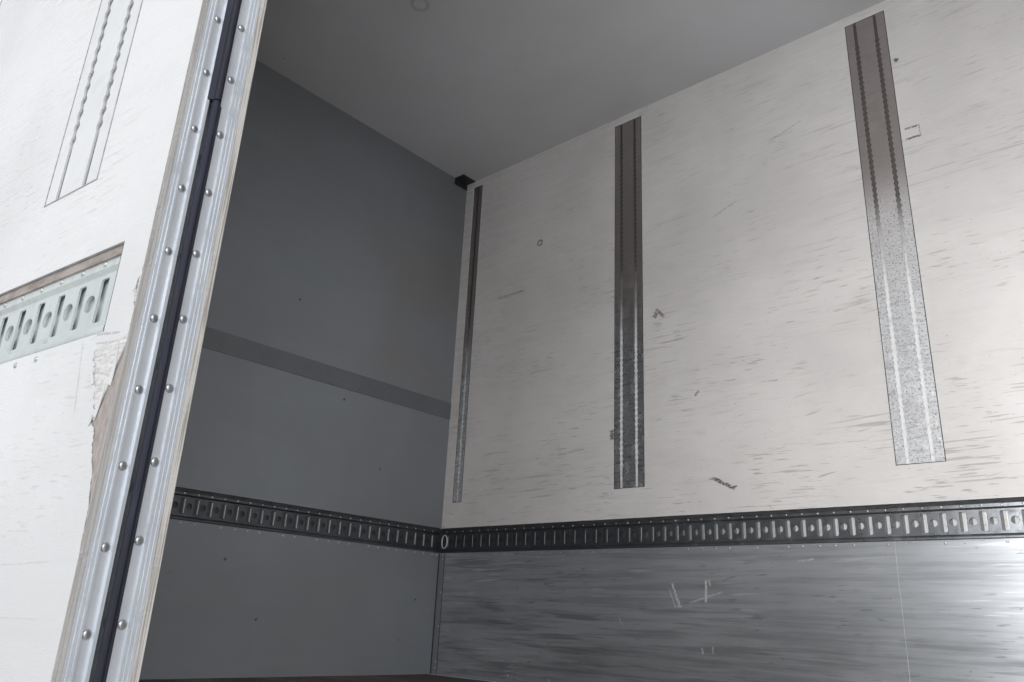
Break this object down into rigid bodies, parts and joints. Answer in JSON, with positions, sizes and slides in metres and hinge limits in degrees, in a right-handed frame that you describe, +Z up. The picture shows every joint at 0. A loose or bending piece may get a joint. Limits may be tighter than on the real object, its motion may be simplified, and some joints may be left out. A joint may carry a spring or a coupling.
{
  "type": "side-opening cargo box body of a rigid truck",
  "caption": "Cargo box body with a fixed front side section, hinged side leaves on the left, rear doors, slotted lashing rails, deck tracks and kick plates; one side leaf folded open.",
  "frame": {"origin": "On the centreline, in the plane under the two bearers, in the middle of the four chassis bolt holes.", "axes": "+X to the rear along the box, +Y to the vehicle's right, +Z up. The opened side is -Y."},
  "size_m": [7.5063, 2.7534, 3.068],
  "materials": {
    "white_lining": "white glass-fibre faced panel, scuffed",
    "grey_lining": "grey coated panel",
    "roof_skin": "white glass-fibre faced roof panel",
    "aluminium_profile": "extruded, brushed by use",
    "kick_aluminium": "rolled sheet with long scuffs",
    "rail_steel": "galvanised sheet",
    "zinc_steel": "zinc plated",
    "galvanised_steel": "hot-dip galvanised",
    "frame_paint": "white painted steel",
    "hinge_rubber": "black hose over the knuckles",
    "lamp_lens": "amber lens",
    "deck_board": "phenolic faced plywood"
  },
  "bodies": {
    "body_shell": {"bearers": "galvanised_steel", "cross_members": "galvanised_steel", "floor_deck": "deck_board", "sills": "aluminium_profile", "right_wall": "white_lining", "right_lashing_rail": "rail_steel", "right_deck_tracks": "aluminium_profile", "right_kick_plates": "kick_aluminium", "front_wall": "grey_lining", "front_lashing_rail": "rail_steel", "front_strip": "kick_aluminium", "front_corner_posts": "aluminium_profile", "roof_panel": "roof_skin", "roof_rails": "aluminium_profile", "roof_front_rail": "aluminium_profile", "left_fixed_panel": "white_lining", "left_load_rails": "rail_steel", "left_hinge_edge": "aluminium_profile", "side_pillar": "frame_paint", "rear_post_left": "frame_paint", "rear_post_right": "frame_paint", "rear_header": "frame_paint", "rear_sill": "frame_paint", "rear_hinge_brackets": "zinc_steel", "side_hinges": "hinge_rubber", "lock_keepers": "zinc_steel", "marker_lamps": "lamp_lens"},
    "leaf_1": {"leaf_1_panel": "white_lining", "leaf_1_frame": "aluminium_profile", "leaf_1_load_rails": "rail_steel", "leaf_1_lock_gear": "zinc_steel", "leaf_1_knuckle": "hinge_rubber"},
    "leaf_2": {"leaf_2_panel": "white_lining", "leaf_2_frame": "aluminium_profile", "leaf_2_load_rails": "rail_steel", "leaf_2_lock_gear": "zinc_steel", "leaf_2_knuckle": "hinge_rubber"},
    "leaf_3": {"leaf_3_panel": "white_lining", "leaf_3_frame": "aluminium_profile", "leaf_3_load_rails": "rail_steel", "leaf_3_lock_gear": "zinc_steel", "leaf_3_knuckle": "hinge_rubber"},
    "leaf_4": {"leaf_4_panel": "white_lining", "leaf_4_frame": "aluminium_profile", "leaf_4_load_rails": "rail_steel", "leaf_4_lock_gear": "zinc_steel", "leaf_4_knuckle": "hinge_rubber"},
    "rear_door_left": {"rear_door_left_panel": "white_lining", "rear_door_left_fittings": "zinc_steel"},
    "rear_door_right": {"rear_door_right_panel": "white_lining", "rear_door_right_fittings": "zinc_steel"}
  },
  "joints": [
    {"name": "leaf_1_hinge", "type": "hinge", "parent": "body_shell", "child": "leaf_1", "pos_m": [-1.524, -1.282, 1.5], "axis": [0, 0, -1], "range_deg": [-174, 0]},
    {"name": "leaf_2_hinge", "type": "hinge", "parent": "body_shell", "child": "leaf_2", "pos_m": [0.97, -1.282, 1.5], "axis": [0, 0, 1], "range_deg": [0, 174]},
    {"name": "leaf_3_hinge", "type": "hinge", "parent": "body_shell", "child": "leaf_3", "pos_m": [1.084, -1.282, 1.5], "axis": [0, 0, 1], "range_deg": [-174, 0]},
    {"name": "leaf_4_hinge", "type": "hinge", "parent": "body_shell", "child": "leaf_4", "pos_m": [3.578, -1.282, 1.5], "axis": [0, 0, 1], "range_deg": [0, 174]},
    {"name": "rear_door_left_hinge", "type": "hinge", "parent": "body_shell", "child": "rear_door_left", "pos_m": [3.751, -1.283, 1.5], "axis": [0, 0, 1], "range_deg": [-265, 0]},
    {"name": "rear_door_right_hinge", "type": "hinge", "parent": "body_shell", "child": "rear_door_right", "pos_m": [3.751, 1.283, 1.5], "axis": [0, 0, -1], "range_deg": [-265, 0]}
  ]
}
